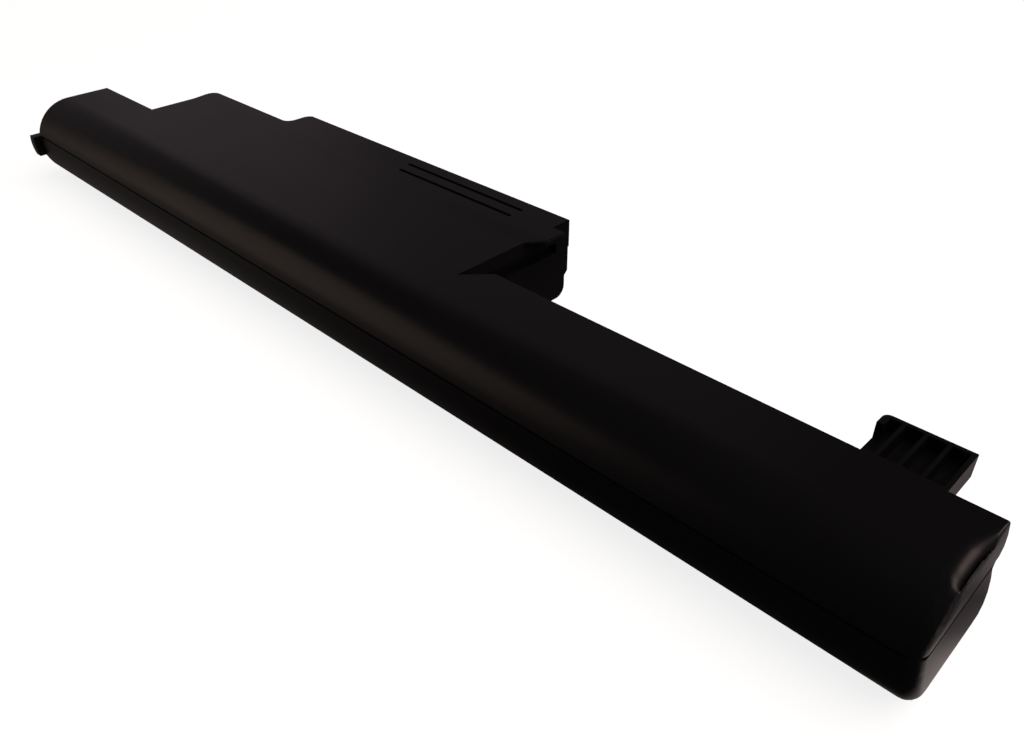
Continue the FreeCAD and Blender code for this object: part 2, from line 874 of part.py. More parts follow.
def control_board():
    """The board, with clipped corners and a hole for each contact's tail."""
    half = board_length / 2
    clip = board_clip
    high = board_low + board_height
    outline = [((board_x - half + clip, board_low),),
               ((board_x + half - clip, board_low),),
               ((board_x + half, board_low + clip),),
               ((board_x + half, high - clip),),
               ((board_x + half - clip, high),),
               ((board_x - half + clip, high),),
               ((board_x - half, high - clip),),
               ((board_x - half, board_low + clip),)]
    face = face_from(outline, lambda x, z: vec(x, board_front, z))
    board = face.extrude(vec(0, board_thickness, 0))
    middle = connector_low() + connector_height / 2
    hole = tail_size / 2 + tail_clearance
    holes = []
    for number in range(contact_count):
        x = contact_x(number)
        holes.append(block(x - hole, x + hole, board_front - 1, board_back + 1, middle - hole, middle + hole))
    return board.cut(holes[0].fuse(holes[1:]))


def chip(x, z, size):
    """A plain moulded package on the board, with its top edges bevelled."""
    length, height, thickness = size
    body = block(x - length / 2, x + length / 2, board_back + solder_gap,
                 board_back + solder_gap + thickness, z - height / 2, z + height / 2)
    top = board_back + solder_gap + thickness
    return body.makeChamfer(chip_edge, [e for e in body.Edges if abs(e.CenterOfMass.y - top) < 0.01])


def leaded_chip(x, z, size):
    """A package with bent leads along its two long sides."""
    length, height, thickness = size
    body = chip(x, z, size)
    foot = board_back + solder_gap
    knee = foot + thickness / 2
    for side in (-1, 1):
        inner = z + side * (height / 2 - lead_root)
        bend = z + side * (height / 2 + lead_root)
        tip = z + side * (height / 2 + lead_reach)
        t = lead_thick
        steps = [((knee, inner),),
                 ((knee, bend + side * t),),
                 ((foot + t, bend + side * t),),
                 ((foot + t, tip),),
                 ((foot, tip),),
                 ((foot, bend),),
                 ((knee - t, bend),),
                 ((knee - t, inner),)]
        for number in range(lead_count):
            at = x + (number - (lead_count - 1) / 2) * lead_pitch
            body = body.fuse(along_x(steps, at - lead_width_chip / 2, at + lead_width_chip / 2))
    return body.removeSplitter()


def thermistor():
    """The bead thermistor against a deck cell, on two stiff legs from the board."""
    x = board_left + thermistor_from_end
    z = board_low + board_height - thermistor_from_top
    y = board_front - thermistor_radius - thermistor_gap
    bead = Part.makeSphere(thermistor_radius, vec(x, y, z))
    reach = board_front - solder_gap - y
    legs = []
    for side in (-1, 1):
        foot = vec(x + side * thermistor_leg_offset, y, z)
        legs.append(Part.makeCylinder(thermistor_leg_radius, reach, foot, vec(0, 1, 0)))
    return bead.fuse(legs).removeSplitter()


def save(shape, node):
    """Writes one sub-part, checking that it is sound."""
    if not shape.isValid() or len(shape.Solids) != 1:
        print("check", node, "valid", shape.isValid(), "solids", len(shape.Solids))
    shape = shape.Solids[0]
    shape.exportStep("parts/" + node + ".step")
    print(node, round(shape.Volume, 1))


def save_cells():
    """Writes the cells with their card rings."""
    for number, place in enumerate(cell_places(), 1):
        save(cell(*place), "cell_" + str(number))
        save(insulating_ring(*place), "insulating_ring_" + str(number))


def save_strips():
    """Writes the nickel strips that join the cells and lead to the board."""
    low = axis_z - strip_width / 2
    high = axis_z + strip_width / 2
    for number in range(1, barrel_cells):
        x = -barrel_row / 2 + number * cell_length + (number - 1) * barrel_cell_gap
        reach = cell_radius if number == barrel_cells / 2 else cell_radius - 1
        save(gap_link(x, barrel_cell_gap, axis_y, reach, low, high), "barrel_link_" + str(number))
    x = deck_row_left + cell_length
    save(gap_link(x, deck_cell_gap, deck_axis_y, cell_radius - 1, low, high + deck_link_extra_height),
         "deck_link")
    side = cell_radius + weld_gap
    save(bus_strip(-barrel_row / 2 - weld_gap, barrel_row / 2 + weld_gap, axis_y, axis_y + side),
         "barrel_bus_strip")
    save(bus_strip(deck_row_left - weld_gap, deck_row_left + deck_row + weld_gap, deck_axis_y,
                   deck_axis_y + side), "deck_bus_strip")
    save(series_strip(), "series_strip")
    save(over_strip(board_left + lead_width / 2, lead_width), "positive_lead_strip")
    save(over_strip(connector_x, tap_width), "barrel_tap_strip")
    save(board_tab(x + deck_cell_gap / 2, deck_axis_y + cell_radius - 1, high + deck_link_extra_height / 2),
         "negative_lead_strip")
    save(board_tab(board_right - deck_tap_from_end, deck_axis_y + side + strip_thickness, axis_z + 1),
         "deck_tap_strip")


def save_linings():
    """Writes the papers and the foam strips."""
    save(row_paper(), "row_insulating_paper")
    save(board_paper(), "board_insulating_paper")
    save(foam_strip(foam_margin - barrel_half, barrel_half - foam_margin, axis_y), "barrel_foam_strip")
    left = board_left + lead_width + foam_strip_gap
    y = deck_axis_y - foam_width / 2
    save(foam_strip(left, connector_x - foam_margin, y), "deck_foam_strip_1")
    save(foam_strip(connector_x + foam_margin, deck_right - foam_margin, y), "deck_foam_strip_2")


def save_board():
    """Writes the control board with its connector and the parts soldered to it."""
    save(control_board(), "control_board")
    save(connector_housing(), "connector_housing")
    for number in range(contact_count):
        save(contact(number), "contact_" + str(number + 1))
    middle = board_low + board_height / 2
    end = connector_x - connector_length() / 2
    save(leaded_chip(end - charge_place[0], middle + charge_place[1], fet_size), "charge_transistor")
    save(leaded_chip(end - discharge_place[0], middle + discharge_place[1], fet_size),
         "discharge_transistor")
    save(chip(end - gauge_place[0], middle + gauge_place[1], gauge_size), "gauge_chip")
    save(chip(board_left + protector_place[0], middle + protector_place[1], protector_size),
         "protection_chip")
    save(chip(board_right - fuse_place[0], middle + fuse_place[1], fuse_size), "fuse")
    save(chip(board_right - shunt_place[0], middle + shunt_place[1], shunt_size), "sense_resistor")
    for number in range(capacitor_count):
        x = board_left + capacitor_place[0] + capacitor_step * number
        save(chip(x, middle + capacitor_place[1], capacitor_size), "capacitor_" + str(number + 1))
    save(thermistor(), "thermistor")


def main():
    """Builds every sub-part in the order of assembly."""
    os.makedirs("parts", exist_ok=True)
    save(lower_case(), "lower_case")
    save(upper_case(), "upper_case")
    save_cells()
    save_strips()
    save_linings()
    save_board()


main()
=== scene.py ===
"""Looks of a slide-in laptop battery: its case skins, its inner parts' finishes, floor, light and camera.

The case is two mouldings in black ABS blend with a spark-eroded satin grain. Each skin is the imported
solid's own surface with its points joined. The upper one also falls away at its right end in a
broader round than the solid's.
"""

import json
import logging
import math
from dataclasses import dataclass
from enum import Enum
from typing import Any, Dict, Optional, Tuple

import bmesh
import bpy
import numpy as np
from bmesh.types import BMesh
from bpy.types import Material, Mesh, Node, NodeSocket, NodeTree, Object
from mathutils import Matrix, Vector


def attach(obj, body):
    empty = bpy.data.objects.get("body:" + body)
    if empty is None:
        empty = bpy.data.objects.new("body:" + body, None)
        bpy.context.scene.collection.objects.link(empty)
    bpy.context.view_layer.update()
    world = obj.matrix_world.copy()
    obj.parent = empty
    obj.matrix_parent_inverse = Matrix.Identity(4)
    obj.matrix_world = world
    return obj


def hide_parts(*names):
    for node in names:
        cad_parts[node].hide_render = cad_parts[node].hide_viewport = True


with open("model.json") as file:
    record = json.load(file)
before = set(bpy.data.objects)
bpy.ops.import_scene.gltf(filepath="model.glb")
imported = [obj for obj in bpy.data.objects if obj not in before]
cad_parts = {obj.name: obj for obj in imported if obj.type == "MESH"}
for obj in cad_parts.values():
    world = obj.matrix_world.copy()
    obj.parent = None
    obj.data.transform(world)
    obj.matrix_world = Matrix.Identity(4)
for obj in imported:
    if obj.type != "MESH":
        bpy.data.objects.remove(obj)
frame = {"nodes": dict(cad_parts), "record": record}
for startup in ("Cube", "Light", "Camera"):
    if startup in bpy.data.objects:
        bpy.data.objects.remove(bpy.data.objects[startup])
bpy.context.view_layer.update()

LOG = logging.getLogger("laptop_battery")
MM = 0.001
BODY = "root"

# A colour Mix node's sockets go by number, since its names are shared by several of them.
MIX_FACTOR, MIX_FIRST, MIX_SECOND, MIX_RESULT = 0, 6, 7, 2

Colour = Tuple[float, float, float, float]
Triple = Tuple[float, float, float]

WHITE: Colour = (1.0, 1.0, 1.0, 1.0)
BLACK: Colour = (0.0, 0.0, 0.0, 1.0)


def linear(hex_colour: str) -> Colour:
    """Turns an sRGB hex colour into linear light.

    Args:
        hex_colour: six hex digits after a hash.

    Returns:
        Red, green, blue and full alpha, each from 0 to 1.
    """
    channels = [int(hex_colour[at:at + 2], 16) / 255 for at in (1, 3, 5)]
    flat = [c / 12.92 if c <= 0.04045 else ((c + 0.055) / 1.055) ** 2.4 for c in channels]
    return flat[0], flat[1], flat[2], 1.0


def eased(value: np.ndarray, low: float, high: float) -> np.ndarray:
    """Steps softly from one limit to the other, by three times the share's square less twice its cube.

    Args:
        value: where to read the step.
        low: the limit with 0 at and beyond it.
        high: the limit with 1 at and beyond it.

    Returns:
        The step's heights, from 0 to 1.
    """
    share = np.clip((value - low) / (high - low), 0.0, 1.0)
    return share * share * (3 - 2 * share)


def add_node(tree: NodeTree, kind: str, settings: Optional[Dict[str, Any]] = None,
             values: Optional[Dict[Any, Any]] = None, links: Optional[Dict[Any, Any]] = None) -> Node:
    """Adds one node with its settings, socket values and incoming links.

    Args:
        tree: the node tree.
        kind: the node's type name.
        settings: attributes of the node.
        values: numbers or colours by input socket.
        links: output sockets by input socket.

    Returns:
        The new node.
    """
    node = tree.nodes.new(kind)
    for name, value in (settings or {}).items():
        setattr(node, name, value)
    for socket, value in (values or {}).items():
        node.inputs[socket].default_value = value
    for socket, source in (links or {}).items():
        tree.links.new(source, node.inputs[socket])
    return node


def new_tree(name: str) -> Tuple[Material, NodeTree, Node]:
    """Starts a material.

    Args:
        name: the material's name.

    Returns:
        The material, its node tree and its Principled shader, already joined to the output.
    """
    material = bpy.data.materials.new(name)
    material.use_nodes = True
    tree = material.node_tree
    tree.nodes.clear()
    output = tree.nodes.new("ShaderNodeOutputMaterial")
    shader = tree.nodes.new("ShaderNodeBsdfPrincipled")
    tree.links.new(shader.outputs["BSDF"], output.inputs["Surface"])
    return material, tree, shader


def seen_directly(tree: NodeTree, path: Node) -> NodeSocket:
    """Tells the camera's rays, and those through clear matter, from the rest.

    Args:
        tree: the node tree.
        path: its Light Path node.

    Returns:
        A socket with 1 for those rays and 0 for the others.
    """
    seen = add_node(tree, "ShaderNodeMath", {"operation": "MAXIMUM"},
                    links={0: path.outputs["Is Camera Ray"], 1: path.outputs["Is Transmission Ray"]})
    return seen.outputs[0]


class Grain(Enum):
    """How a surface was made, which sets the kind of its fine relief."""

    SPARK_ERODED = "spark eroded"
    DRAWN = "drawn"
    ROLLED = "rolled"
    FIBRE = "fibre"
    CELLULAR = "cellular"
    FIRED = "fired"


@dataclass(frozen=True)
class Finish:
    """A moulded, rolled or pressed surface with a fine relief and a little unevenness of colour.

    Sizes are in millimetres. The relief is a noise in Object coordinates, scaled so that one bump is
    grain_mm across. The colour and the roughness wander between two close values over patch_mm.
    """

    name: str
    shade: str
    other_shade: str
    grain: Grain
    grain_mm: float
    relief_mm: float
    patch_mm: float
    roughness: float
    rough_spread: float = 0.04
    metallic: float = 0.0
    ior: float = 1.5
    specular: float = 0.5
    coat: float = 0.0
    stretch: Triple = (1.0, 1.0, 1.0)

    def material(self) -> Material:
        """Builds the finish.

        Returns:
            The material.
        """
        material, tree, shader = new_tree(self.name)
        coordinates = add_node(tree, "ShaderNodeTexCoord")
        turn = add_node(tree, "ShaderNodeMapping", values={"Scale": self.stretch},
                        links={"Vector": coordinates.outputs["Object"]})
        place = turn.outputs["Vector"]
        patch = add_node(tree, "ShaderNodeTexNoise",
                         values={"Scale": 1 / (self.patch_mm * MM), "Detail": 3.0, "Roughness": 0.55},
                         links={"Vector": place}).outputs["Fac"]
        shade = add_node(tree, "ShaderNodeMix", {"data_type": "RGBA"},
                         {MIX_FIRST: linear(self.shade), MIX_SECOND: linear(self.other_shade)},
                         {MIX_FACTOR: patch})
        tree.links.new(shade.outputs[MIX_RESULT], shader.inputs["Base Color"])
        spread = add_node(tree, "ShaderNodeMapRange",
                          values={"To Min": self.roughness - self.rough_spread,
                                  "To Max": self.roughness + self.rough_spread},
                          links={"Value": patch})
        tree.links.new(spread.outputs["Result"], shader.inputs["Roughness"])
        bump = add_node(tree, "ShaderNodeBump", values={"Strength": 1.0, "Distance": self.relief_mm * MM},
                        links={"Height": self.relief(tree, place)})
        tree.links.new(bump.outputs["Normal"], shader.inputs["Normal"])
        shader.inputs["Metallic"].default_value = self.metallic
        shader.inputs["IOR"].default_value = self.ior
        shader.inputs["Specular IOR Level"].default_value = self.specular
        shader.inputs["Coat Weight"].default_value = self.coat
        return material

    def relief(self, tree: NodeTree, place: NodeSocket) -> NodeSocket:
        """Adds the fine relief: closed cells, tangled fibres or plain grit.

        Args:
            tree: the node tree.
            place: the coordinates.

        Returns:
            The height's socket.
        """
        scale = 1 / (self.grain_mm * MM)
        if self.grain in (Grain.CELLULAR, Grain.FIRED):
            cells = add_node(tree, "ShaderNodeTexVoronoi", {"feature": "SMOOTH_F1"},
                             {"Scale": scale, "Smoothness": 0.6}, {"Vector": place})
            return cells.outputs["Distance"]
        if self.grain is Grain.FIBRE:
            character = {"Detail": 6.0, "Roughness": 0.7, "Distortion": 1.2}
        else:
            character = {"Detail": 2.0, "Roughness": 0.5}
        noise = add_node(tree, "ShaderNodeTexNoise", values={"Scale": scale, **character},
                         links={"Vector": place})
        return noise.outputs["Fac"]


@dataclass(frozen=True)
class CaseFinish(Finish):
    """Black ABS blend from a spark-eroded mould.

    To the eye it is a nearly neutral black with a soft satin sheen and a faint unevenness of shade.
    The pits are drawn a little coarser than real ones, so that they tell in the sheen.
    """

    name: str = "black_abs_case"
    shade: str = "#080708"
    other_shade: str = "#0a090a"
    grain: Grain = Grain.SPARK_ERODED
    grain_mm: float = 0.16
    relief_mm: float = 0.006
    patch_mm: float = 22.0
    roughness: float = 0.30
    rough_spread: float = 0.03


FINISHES: Dict[str, Finish] = {
    "case_plastic": CaseFinish(),
    # PET shrink sleeve: smooth, with a gloss that follows the can.
    "cell_sleeve": Finish("pet_shrink_sleeve", "#2f6f8c", "#2a6684", Grain.DRAWN,
                          grain_mm=1.8, relief_mm=0.01, patch_mm=14.0, roughness=0.24, coat=0.3),
    # Barley-paper card: dull, fibrous and a little mottled.
    "insulating_card": Finish("barley_paper_card", "#b4a57f", "#a39572", Grain.FIBRE,
                              grain_mm=0.35, relief_mm=0.02, patch_mm=3.0, roughness=0.78),
    # Rolled nickel strip: grey-gold metal with fine rolling lines along it.
    "nickel": Finish("rolled_nickel_strip", "#c9c2b4", "#b9b2a5", Grain.ROLLED,
                     grain_mm=0.08, relief_mm=0.004, patch_mm=4.0, roughness=0.30,
                     metallic=1.0, stretch=(0.06, 1.0, 1.0)),
    # EVA foam: black, closed cells about 0.3 mm across.
    "foam": Finish("eva_foam_strip", "#232324", "#1b1b1c", Grain.CELLULAR,
                   grain_mm=0.3, relief_mm=0.08, patch_mm=5.0, roughness=0.9),
    # Glass-epoxy laminate under green solder mask: smooth with a faint weave.
    "board_laminate": Finish("glass_epoxy_laminate", "#1c5a34", "#19502f", Grain.DRAWN,
                             grain_mm=0.4, relief_mm=0.004, patch_mm=6.0, roughness=0.32, coat=0.4),
    # Glass-filled nylon: black, slightly dull, with short fibres at the surface.
    "connector_plastic": Finish("glass_filled_nylon", "#161617", "#1d1d1e", Grain.FIBRE,
                                grain_mm=0.2, relief_mm=0.01, patch_mm=2.5, roughness=0.5),
    # Gold-flashed spring bronze: bright warm metal.
    "contact_metal": Finish("gold_flashed_bronze", "#d8b25c", "#cda652", Grain.ROLLED,
                            grain_mm=0.05, relief_mm=0.002, patch_mm=1.5, roughness=0.22, metallic=1.0),
    # Moulded epoxy package: matt black.
    "chip_plastic": Finish("moulded_epoxy", "#1b1b1c", "#222223", Grain.SPARK_ERODED,
                           grain_mm=0.06, relief_mm=0.004, patch_mm=1.0, roughness=0.6),
    # Fired ceramic body: brown, dull.
    "ceramic": Finish("fired_ceramic", "#80684c", "#745e45", Grain.FIRED,
                      grain_mm=0.1, relief_mm=0.004, patch_mm=0.8, roughness=0.55),
    # Glazed bead: dark and glossy.
    "bead_glaze": Finish("glazed_bead", "#1c2430", "#18202a", Grain.DRAWN,
                         grain_mm=0.6, relief_mm=0.01, patch_mm=1.0, roughness=0.12),
}


@dataclass(frozen=True)
class Crown:
    """The soft fall of the barrel's top towards its right end.

    The fall is a quarter circle whose radius grows from the sharp back edge to the crown, and shrinks
    again round the front down to the seam. Sizes are in millimetres, in the CAD's frame, and turns are
    in degrees round the front from the top. Only skin outside the fall moves, and only inwards, so
    the solid's own rounding stays where it is the greater.
    """

    # The barrel's axis and outside, its right end, and how much of its wall takes part.
    axis_y: float = -12.3
    axis_z: float = 11.4
    barrel_radius: float = 11.4
    end_x: float = 135.45
    skin_depth: float = 0.9
    # The fall's radius at the back edge, on the crown and at the seam.
    back_radius: float = 0.4
    radius: float = 3.8
    seam_radius: float = 0.8
    # Where the crown's full radius begins and ends, and where the seam's is reached.
    full_at_y: float = -9.0
    turn_full: float = 8.0
    turn_seam: float = 34.0
    # The grid's cuts each way. In metres: how close a point lies to be on a cut, how close two
    # points lie to be joined, and how thin a face is to be dropped.
    steps: int = 20
    cut_within: float = 1e-7
    join_within: float = 1e-5
    thin_within: float = 1e-6

    @property
    def start(self) -> float:
        """Where the fall begins along the barrel."""
        return self.end_x - self.radius

    def fall_radius(self, y: np.ndarray, turn: np.ndarray) -> np.ndarray:
        """Gives the fall's radius at places round the barrel.

        Over the flat it grows from the back edge's to the crown's, and round the front it shrinks
        from the crown's to the seam's, both by a soft step.

        Args:
            y: the places from front to back.
            turn: degrees round the front from the top, 0 on the flat.

        Returns:
            The radii.
        """
        on_flat = eased(y, 0.0, self.full_at_y)
        in_front = eased(turn, self.turn_full, self.turn_seam)
        return np.where(turn > 0, self.radius + (self.seam_radius - self.radius) * in_front,
                        self.back_radius + (self.radius - self.back_radius) * on_flat)

    def cut(self, work: BMesh) -> None:
        """Cuts a grid into the barrel's end, fine enough to follow the fall.

        Args:
            work: the upper case's mesh.
        """
        step = math.pi / 2 / self.steps
        planes = [((self.start + self.radius * math.sin(step * n)) * MM, 0) for n in range(self.steps)]
        planes += [(self.axis_y * n / self.steps * MM, 1) for n in range(1, self.steps + 1)]
        for at, axis in planes:
            place, way = Vector((0, 0, 0)), Vector((0, 0, 0))
            place[axis], way[axis] = at, 1
            faces = [face for face in work.faces if max(v.co.x for v in face.verts) > self.start * MM]
            edges = dict.fromkeys(edge for face in faces for edge in face.edges)
            verts = dict.fromkeys(vert for face in faces for vert in face.verts)
            bmesh.ops.bisect_plane(work, geom=[*faces, *edges, *verts], plane_co=place, plane_no=way,
                                   dist=self.cut_within)

    def press(self, points: np.ndarray) -> np.ndarray:
        """Presses points at the barrel's end down to the fall.

        A point's reach is its distance from the barrel's axis, or on the flat its height over it.
        The most that the fall leaves is the barrel's radius, less the fall's, plus the height there
        of the fall's quarter circle. A point that reaches further is drawn in to that.

        Args:
            points: a row of x, y and z for each point, in metres.

        Returns:
            The same rows, pressed.
        """
        x, y, z = points.T / MM
        across, up = np.minimum(y - self.axis_y, 0.0), z - self.axis_z
        reach = np.hypot(across, up)
        round_by = self.fall_radius(y, np.degrees(np.arctan2(-across, up)))
        along = np.clip(x - (self.end_x - round_by), 0.0, round_by)
        limit = self.barrel_radius - round_by + np.sqrt(round_by ** 2 - along ** 2)
        of_skin = (x > self.start) & (up >= 0) & (reach >= self.barrel_radius - self.skin_depth)
        beyond = of_skin & (reach > limit)
        inwards = (1 - limit[beyond] / reach[beyond]) * MM
        pressed = points.copy()
        pressed[beyond, 1] -= across[beyond] * inwards
        pressed[beyond, 2] -= up[beyond] * inwards
        return pressed

    def soften(self, work: BMesh, mesh: Mesh) -> None:
        """Cuts the barrel's end, presses it down to the fall and joins the points that then meet.

        Args:
            work: the upper case's surface.
            mesh: the mesh that will hold it, which carries the points through the press.
        """
        self.cut(work)
        work.to_mesh(mesh)
        places = np.empty(3 * len(mesh.vertices), dtype=np.float32)
        mesh.vertices.foreach_get("co", places)
        pressed = self.press(places.reshape(-1, 3).astype(np.float64))
        mesh.vertices.foreach_set("co", pressed.astype(np.float32).ravel())
        work.clear()
        work.from_mesh(mesh)
        bmesh.ops.remove_doubles(work, verts=work.verts, dist=self.join_within)
        bmesh.ops.dissolve_degenerate(work, edges=work.edges, dist=self.thin_within)


@dataclass(frozen=True)
class Skin:
    """A case part's skin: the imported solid's surface, joined up, with its end softened if it has a crown.

    Points within join_within metres are one, faces within flat_degrees are one flat face, and edges
    that turn by sharp_degrees or more stay crisp.
    """

    node: str
    crown: Optional[Crown] = None
    join_within: float = 1e-6
    flat_degrees: float = 0.5
    sharp_degrees: float = 32.0

    def surface(self) -> Mesh:
        """Makes the skin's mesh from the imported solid.

        Returns:
            The mesh.
        """
        mesh = bpy.data.meshes.new(self.node + "_skin")
        work = bmesh.new()
        work.from_mesh(frame["nodes"][self.node].data)
        bmesh.ops.remove_doubles(work, verts=work.verts, dist=self.join_within)
        bmesh.ops.dissolve_limit(work, angle_limit=math.radians(self.flat_degrees),
                                 verts=work.verts, edges=work.edges)
        if self.crown:
            self.crown.soften(work, mesh)
        for face in work.faces:
            face.smooth = True
        limit = math.radians(self.sharp_degrees)
        for edge in work.edges:
            edge.smooth = len(edge.link_faces) == 2 and edge.calc_face_angle(0.0) < limit
        work.to_mesh(mesh)
        work.free()
        return mesh

    def build(self, material: Material) -> Object:
        """Makes the skin and lets it stand for its solid.

        Args:
            material: the finish.

        Returns:
            The skin's object.
        """
        mesh = self.surface()
        piece = bpy.data.objects.new(self.node + "_skin", mesh)
        bpy.context.scene.collection.objects.link(piece)
        mesh.materials.append(material)
        shading = piece.modifiers.new("big_faces_lead", "WEIGHTED_NORMAL")
        shading.keep_sharp = True
        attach(piece, BODY)
        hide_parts(self.node)
        LOG.info("%s: %d faces", piece.name, len(mesh.polygons))
        return piece


@dataclass
class InnerParts:
    """Everything inside the case: cells, strips, linings, board and connector."""

    dressed: int = 0

    def dress(self, finishes: Dict[str, Material]) -> None:
        """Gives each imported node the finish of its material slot.

        Args:
            finishes: materials by slot name.
        """
        slots = {row["node"]: row["material_slot"] for row in frame["record"]["subparts"]}
        for name, node in frame["nodes"].items():
            for slot in node.material_slots:
                slot.material = finishes[slots[name]]
            self.dressed += 1
        LOG.info("dressed %d nodes", self.dressed)


@dataclass(frozen=True)
class Lamp:
    """A soft rectangular lamp, hung on a sphere round the battery and faced at its middle.

    Its glow is the light that each part of its face sends out, where 1 is as bright as white paper
    in full light. Sizes and reach are in metres, angles in degrees. A lamp that is not in the gloss
    lights matt colour only, and none shows itself to the camera.
    """

    name: str
    azimuth: float
    elevation: float
    width: float
    height: float
    glow: float
    shade: str
    reach: float = 1.5
    in_gloss: bool = True
    # The watts per square metre that an area lamp takes for a glow of 1.
    watts: float = 4.0

    def hang(self) -> Object:
        """Hangs the lamp.

        Returns:
            The lamp's object.
        """
        data = bpy.data.lights.new(self.name, "AREA")
        data.shape = "RECTANGLE"
        data.size, data.size_y = self.width, self.height
        data.energy = self.watts * self.glow * self.width * self.height
        data.color = linear(self.shade)[:3]
        turn, rise = math.radians(self.azimuth), math.radians(self.elevation)
        level = math.cos(rise)
        place = Vector((level * math.cos(turn), level * math.sin(turn), math.sin(rise)))
        lamp = bpy.data.objects.new(self.name, data)
        lamp.location = place * self.reach
        lamp.visible_glossy = self.in_gloss
        lamp.visible_camera = False
        lamp.rotation_euler = (-place).to_track_quat("-Z", "Y").to_euler()
        bpy.context.scene.collection.objects.link(lamp)
        return lamp


@dataclass(frozen=True)
class Floor:
    """Plain matt paper, white to the camera, with a soft shadow.

    To glossy rays it is a painted reflection: there its lit colour is hidden and it glows dim,
    dimmer towards the right, but for a pale painted patch beside the battery's right end.
    The patch fades in across its x span, and its y stops give its share from front to back.
    """

    half: float = 3.0
    drop: float = 0.0001
    shade: str = "#7c7b7a"
    white: float = 0.84
    roughness: float = 0.9
    # The painted reflection's dim glow to glossy rays, falling from left to right.
    gloss_x_mm: Tuple[float, float] = (-60.0, 70.0)
    gloss_levels: Tuple[float, float] = (0.075, 0.015)
    # The pale painted patch beside the right end, which shows only in reflections.
    painted_patch_level: float = 0.5
    painted_patch_shade: str = "#ffeeea"
    painted_patch_x_mm: Tuple[float, float] = (124.0, 137.0)
    painted_patch_y_mm: Tuple[Tuple[float, float], ...] = (
        (-22.0, 0.0), (-14.0, 1.0), (-7.0, 0.9), (0.0, 0.3), (9.0, 0.15), (18.0, 0.5))

    def lay(self) -> Object:
        """Lays the floor just under the battery's lowest point.

        Returns:
            The floor's object.
        """
        half = self.half
        mesh = bpy.data.meshes.new("floor")
        corners = [(-half, -half, 0), (half, -half, 0), (half, half, 0), (-half, half, 0)]
        mesh.from_pydata(corners, [], [(0, 1, 2, 3)])
        floor = bpy.data.objects.new("floor", mesh)
        floor.location = (0, 0, -self.drop)
        bpy.context.scene.collection.objects.link(floor)
        mesh.materials.append(self.material())
        return floor

    def painted_patch(self, tree: NodeTree, parts: Node) -> NodeSocket:
        """Adds the painted reflection patch's share of each place.

        Args:
            tree: the node tree.
            parts: the node that gives the coordinates one by one.

        Returns:
            The share's socket.
        """
        across = add_node(tree, "ShaderNodeMapRange", {"interpolation_type": "SMOOTHSTEP"},
                          {"From Min": self.painted_patch_x_mm[0] * MM, "From Max": self.painted_patch_x_mm[1] * MM},
                          {"Value": parts.outputs["X"]})
        first, last = self.painted_patch_y_mm[0][0], self.painted_patch_y_mm[-1][0]
        along = add_node(tree, "ShaderNodeMapRange",
                         values={"From Min": first * MM, "From Max": last * MM},
                         links={"Value": parts.outputs["Y"]})
        fade = add_node(tree, "ShaderNodeValToRGB", links={"Fac": along.outputs["Result"]})
        stops = fade.color_ramp.elements
        for place_mm, _ in self.painted_patch_y_mm[1:-1]:
            stops.new((place_mm - first) / (last - first))
        for stop, (place_mm, share) in zip(stops, self.painted_patch_y_mm):
            stop.position = (place_mm - first) / (last - first)
            stop.color = (share, share, share, 1)
        painted_patch = add_node(tree, "ShaderNodeMath", {"operation": "MULTIPLY"},
                        links={0: across.outputs["Result"], 1: fade.outputs["Color"]})
        return painted_patch.outputs[0]

    def in_gloss(self, tree: NodeTree, path: Node) -> NodeSocket:
        """Adds the floor's painted reflection: how bright it glows to glossy rays.

        Args:
            tree: the node tree.
            path: its Light Path node.

        Returns:
            The level's socket, 0 for other rays.
        """
        coordinates = add_node(tree, "ShaderNodeTexCoord")
        parts = add_node(tree, "ShaderNodeSeparateXYZ", links={"Vector": coordinates.outputs["Object"]})
        ground = add_node(tree, "ShaderNodeMapRange",
                          values={"From Min": self.gloss_x_mm[0] * MM,
                                  "From Max": self.gloss_x_mm[1] * MM,
                                  "To Min": self.gloss_levels[0], "To Max": self.gloss_levels[1]},
                          links={"Value": parts.outputs["X"]})
        mirrored = add_node(tree, "ShaderNodeMapRange", values={"To Max": self.painted_patch_level},
                            links={"Value": self.painted_patch(tree, parts), "To Min": ground.outputs["Result"]})
        level = add_node(tree, "ShaderNodeMath", {"operation": "MULTIPLY"},
                         links={0: mirrored.outputs["Result"], 1: path.outputs["Is Glossy Ray"]})
        return level.outputs[0]

    def material(self) -> Material:
        """Builds the paper.

        Returns:
            The material.
        """
        material, tree, shader = new_tree("matt_paper")
        shader.inputs["Roughness"].default_value = self.roughness
        shader.inputs["Specular IOR Level"].default_value = 0.0
        path = add_node(tree, "ShaderNodeLightPath")
        glossy = {MIX_FACTOR: path.outputs["Is Glossy Ray"]}
        # Glossy rays see the floor's lit colour as black, so its reflection is only the painted glow.
        shade = add_node(tree, "ShaderNodeMix", {"data_type": "RGBA"},
                         {MIX_FIRST: linear(self.shade), MIX_SECOND: BLACK}, glossy)
        tree.links.new(shade.outputs[MIX_RESULT], shader.inputs["Base Color"])
        # Painted reflection: to glossy rays the floor glows in the patch's pale shade, to the camera in
        # white.
        glow = add_node(tree, "ShaderNodeMix", {"data_type": "RGBA"},
                        {MIX_FIRST: WHITE, MIX_SECOND: linear(self.painted_patch_shade)}, glossy)
        tree.links.new(glow.outputs[MIX_RESULT], shader.inputs["Emission Color"])
        direct = add_node(tree, "ShaderNodeMath", {"operation": "MULTIPLY"}, {1: self.white},
                          {0: seen_directly(tree, path)})
        level = add_node(tree, "ShaderNodeMath", {"operation": "MAXIMUM"},
                         links={0: direct.outputs[0], 1: self.in_gloss(tree, path)})
        tree.links.new(level.outputs[0], shader.inputs["Emission Strength"])
        return material


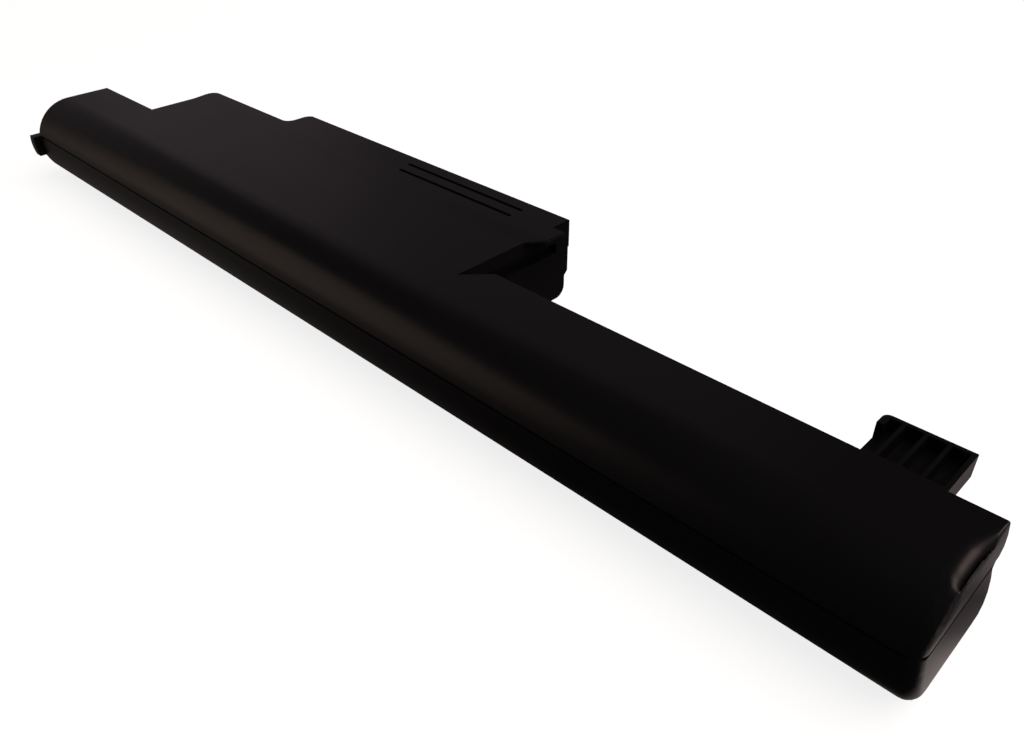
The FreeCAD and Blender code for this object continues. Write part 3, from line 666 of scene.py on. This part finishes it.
@dataclass(frozen=True)
class Studio:
    """Plain pale floor, soft lamps and the camera."""

    floor: Floor = Floor()
    surround: float = 0.018
    # The camera's place and its three axes in the CAD's frame, and its lens and film in millimetres.
    camera_mm: Triple = (148.544, -108.961, 109.918)
    right: Triple = (0.713629, 0.700475, -0.008233)
    down: Triple = (0.396064, -0.413140, -0.820030)
    ahead: Triple = (-0.577812, 0.581937, -0.572261)
    lens: float = 31.527
    film: float = 36.0
    nearest_mm: float = 10.0
    lamps: Tuple[Lamp, ...] = (
        # Wide and high over the right end: it lights at the plain level and is left out of the gloss.
        Lamp("key", azimuth=20.0, elevation=62.0, width=2.0, height=2.0, glow=2.5, shade="#fff8f4",
             in_gloss=False),
        # Small and close behind the right end, whose falling top edge mirrors it.
        Lamp("edge_box", azimuth=24.1, elevation=20.5, width=0.055, height=0.05, glow=1.4,
             shade="#ffe2d8", reach=0.254),
        # Wide panels behind the left end, which the deck and the barrel's flat top mirror.
        Lamp("panel_back", azimuth=138.0, elevation=26.0, width=1.3, height=1.2, glow=0.042,
             shade="#ffe8ed"),
        Lamp("panel_left", azimuth=170.0, elevation=12.0, width=1.3, height=1.0, glow=0.07,
             shade="#ffe8f0"),
        # A warm box in front on the left, which the barrel's round front mirrors.
        Lamp("box_front", azimuth=-139.0, elevation=10.0, width=0.9, height=1.2, glow=0.29,
             shade="#ffe2d0"),
    )

    def light(self) -> None:
        """Hangs the lamps and sets an even surround, dim as a light and white to the camera."""
        for lamp in self.lamps:
            lamp.hang()
        world = bpy.data.worlds.new("surround")
        world.use_nodes = True
        tree = world.node_tree
        ground = tree.nodes["Background"]
        ground.inputs["Color"].default_value = WHITE
        path = add_node(tree, "ShaderNodeLightPath")
        level = add_node(tree, "ShaderNodeMapRange", values={"To Min": self.surround, "To Max": 1.0},
                         links={"Value": seen_directly(tree, path)})
        tree.links.new(level.outputs["Result"], ground.inputs["Strength"])
        bpy.context.scene.world = world

    def camera(self) -> Object:
        """Sets the camera at the photographed angle.

        Returns:
            The camera's object.
        """
        data = bpy.data.cameras.new("camera")
        data.lens = self.lens
        data.sensor_width = self.film
        data.clip_start = self.nearest_mm * MM
        camera = bpy.data.objects.new("camera", data)
        across, up, back = Vector(self.right), -Vector(self.down), -Vector(self.ahead)
        turn = Matrix((across, up, back)).transposed().to_4x4()
        camera.matrix_world = Matrix.Translation(Vector(self.camera_mm) * MM) @ turn
        bpy.context.scene.collection.objects.link(camera)
        bpy.context.scene.camera = camera
        return camera

    def build(self) -> None:
        """Makes the floor, the lamps and the camera."""
        self.floor.lay()
        self.light()
        self.camera()
        bpy.context.scene.view_settings.view_transform = "Standard"
        LOG.info("studio is set")


def main() -> None:
    """Dresses the battery and sets up the studio."""
    logging.basicConfig(level=logging.INFO, format="%(name)s: %(message)s")
    finishes = {slot: finish.material() for slot, finish in FINISHES.items()}
    InnerParts().dress(finishes)
    Skin("lower_case").build(finishes["case_plastic"])
    Skin("upper_case", Crown()).build(finishes["case_plastic"])
    Studio().build()


if __name__ == "__main__":
    main()
